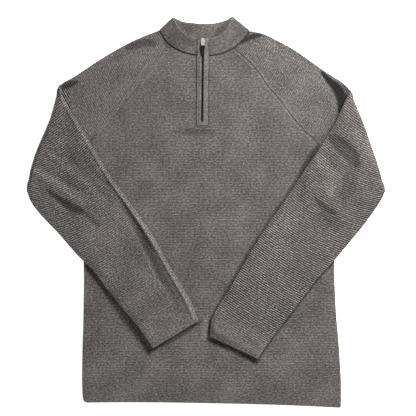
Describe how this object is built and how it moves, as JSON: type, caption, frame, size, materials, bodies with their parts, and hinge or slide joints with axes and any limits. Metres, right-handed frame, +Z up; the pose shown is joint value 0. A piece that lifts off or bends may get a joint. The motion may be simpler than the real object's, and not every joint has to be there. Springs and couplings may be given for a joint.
{
  "type": "quarter zip sweater",
  "caption": "Knitted quarter zip sweater laid flat on its back, raglan sleeves folded over the front, low standing collar, short zip with a hinged pull.",
  "frame": {"origin": "on the surface, under the middle of the laid garment", "axes": "+Y from the hem to the collar, +X to the viewer's right, +Z up from the surface towards the front of the garment"},
  "size_m": [0.6801, 0.7425, 0.0163],
  "materials": {
    "knit": "heather grey fine-gauge ridged knit, matt",
    "band_knit": "heather grey plain knit strip, matt",
    "tape": "black woven tape",
    "metal": "silver-coloured metal",
    "tab": "black soft plastic"
  },
  "bodies": {
    "garment": {"back_panel": "knit", "front_panel": "knit", "sleeve_left": "knit", "sleeve_right": "knit", "collar": "knit", "zip_band": "band_knit", "zip_tape_left": "tape", "zip_tape_right": "tape", "zip_slider": "metal"},
    "pull": {"pull_link": "metal", "pull_tab": "tab"}
  },
  "joints": [
    {"name": "pull_hinge", "type": "hinge", "parent": "garment", "child": "pull", "pos_m": [-0.00679, 0.322, 0.0089], "axis": [-1, 0, 0], "range_deg": [0, 150]}
  ]
}
